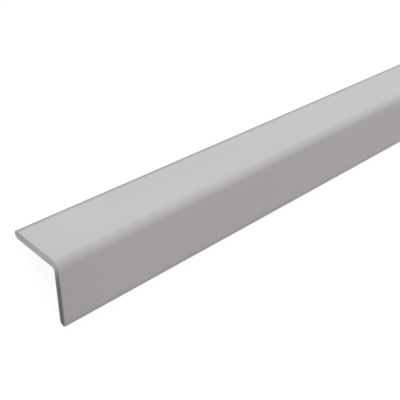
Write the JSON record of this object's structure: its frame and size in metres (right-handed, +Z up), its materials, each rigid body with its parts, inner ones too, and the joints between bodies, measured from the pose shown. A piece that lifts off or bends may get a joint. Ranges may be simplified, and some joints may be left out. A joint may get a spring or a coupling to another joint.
{
  "type": "corner guard moulding",
  "caption": "Straight angle moulding with equal legs, a rounded outer corner and full-round toes, fitted over a wall's outside corner to protect it.",
  "frame": {"origin": "on the floor, below the middle of the ridge, halfway along the strip", "axes": "+Y along the strip, +Z up through the ridge, +X across to one toe"},
  "size_m": [0.0346, 1.2192, 0.0178],
  "materials": {
    "rigid_pvc": "satin light-grey rigid plastic, extruded, with sawn ends"
  },
  "bodies": {
    "root": {"corner_guard": "rigid_pvc"}
  },
  "joints": []
}
